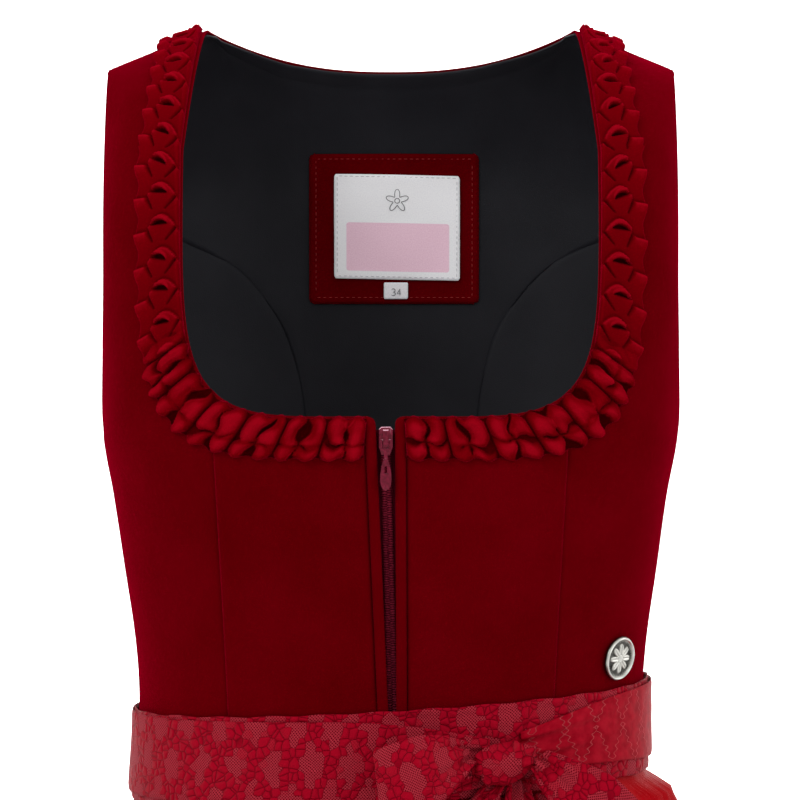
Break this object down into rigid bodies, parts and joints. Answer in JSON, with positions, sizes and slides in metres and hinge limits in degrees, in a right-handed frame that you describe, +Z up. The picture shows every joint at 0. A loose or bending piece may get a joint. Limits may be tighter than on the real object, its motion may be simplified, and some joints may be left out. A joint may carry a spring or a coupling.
{
  "type": "dirndl dress",
  "caption": "Knee-length dirndl: velvet bodice with a ruched square neck and front zip, gathered skirt, and an apron tied in a bow at the side of the waist.",
  "frame": {"origin": "midway between the two points where the shoulder seams meet the neck edge, which the wearer's shoulders carry", "axes": "+Z up along the wearer's back, the front of the dress faces -Y, the wearer's left is +X"},
  "size_m": [0.6841, 0.5791, 1.0655],
  "materials": {
    "velvet": "dark red pile velvet",
    "lining": "plain matt lining",
    "skirt_cloth": "bright red with a soft lustre",
    "jacquard": "crimson woven lozenges",
    "zip_tape": "woven tape with a coil",
    "zip_metal": "burgundy lacquer",
    "woven_label": "white woven tape",
    "pewter": "cast pewter, darkened in its hollows"
  },
  "bodies": {
    "dress": {"apron_skirt": "jacquard", "apron_tie_left": "jacquard", "apron_tie_right": "jacquard", "apron_waistband": "jacquard", "badge": "pewter", "bodice_centre_back": "velvet", "bodice_centre_front_left": "velvet", "bodice_centre_front_right": "velvet", "bodice_side_back_left": "velvet", "bodice_side_back_right": "velvet", "bodice_side_front_left": "velvet", "bodice_side_front_right": "velvet", "bow_knot": "jacquard", "bow_loop_left": "jacquard", "bow_loop_right": "jacquard", "bow_tail_left": "jacquard", "bow_tail_right": "jacquard", "front_edge_left": "velvet", "front_edge_right": "velvet", "label": "woven_label", "label_patch": "velvet", "lining_centre_back": "lining", "lining_side_back_left": "lining", "lining_side_back_right": "lining", "neck_trim_left": "velvet", "neck_trim_right": "velvet", "size_tag": "woven_label", "skirt_back_left": "skirt_cloth", "skirt_back_right": "skirt_cloth", "skirt_front_left": "skirt_cloth", "skirt_front_right": "skirt_cloth", "zip_chain": "zip_tape", "zip_slider": "zip_metal", "zip_tape": "zip_tape"},
    "zip_pull": {"zip_pull": "zip_metal"}
  },
  "joints": [
    {"name": "zip_pull_swing", "type": "hinge", "parent": "dress", "child": "zip_pull", "pos_m": [-0.0024, -0.1114, -0.2046], "axis": [-1, 0, 0], "range_deg": [0, 135]}
  ]
}
